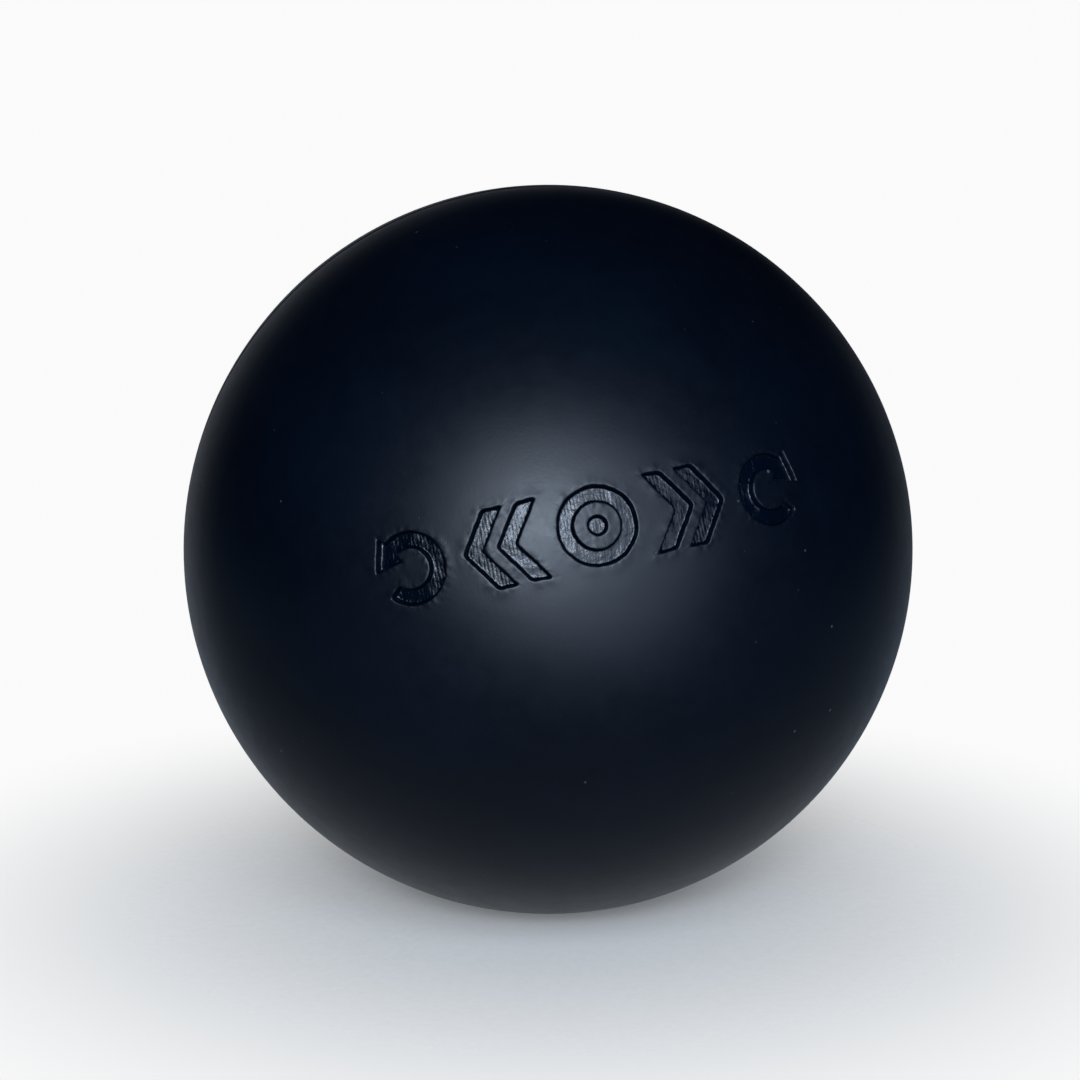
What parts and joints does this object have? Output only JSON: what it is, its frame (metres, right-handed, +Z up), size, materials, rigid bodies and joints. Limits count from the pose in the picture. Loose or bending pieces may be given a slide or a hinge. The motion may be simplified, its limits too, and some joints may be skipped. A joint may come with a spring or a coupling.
{
  "type": "watch back friction ball",
  "caption": "Hollow inflatable rubber ball with a rear needle valve and a moulded turning mark, pressed on a screw-down watch back by hand to grip and unscrew it.",
  "frame": {"origin": "centre of the ball", "axes": "+Z up, +Y along the mould's draw axis and out of the valve at the rear pole; the seam lies in the plane y = 0 and the mark is on the front half, at -Y"},
  "size_m": [0.0635, 0.0631, 0.0634],
  "materials": {
    "cover_rubber": "matte moulded, faint bloom",
    "seam_cement": "matte",
    "bladder_butyl": "smooth matte",
    "valve_rubber": "smooth matte",
    "core_rubber": "smooth satin"
  },
  "bodies": {
    "root": {"cover_front_half": "cover_rubber", "cover_rear_half": "cover_rubber", "seam_cement": "seam_cement", "bladder": "bladder_butyl", "valve_housing": "valve_rubber", "valve_core": "core_rubber"}
  },
  "joints": []
}
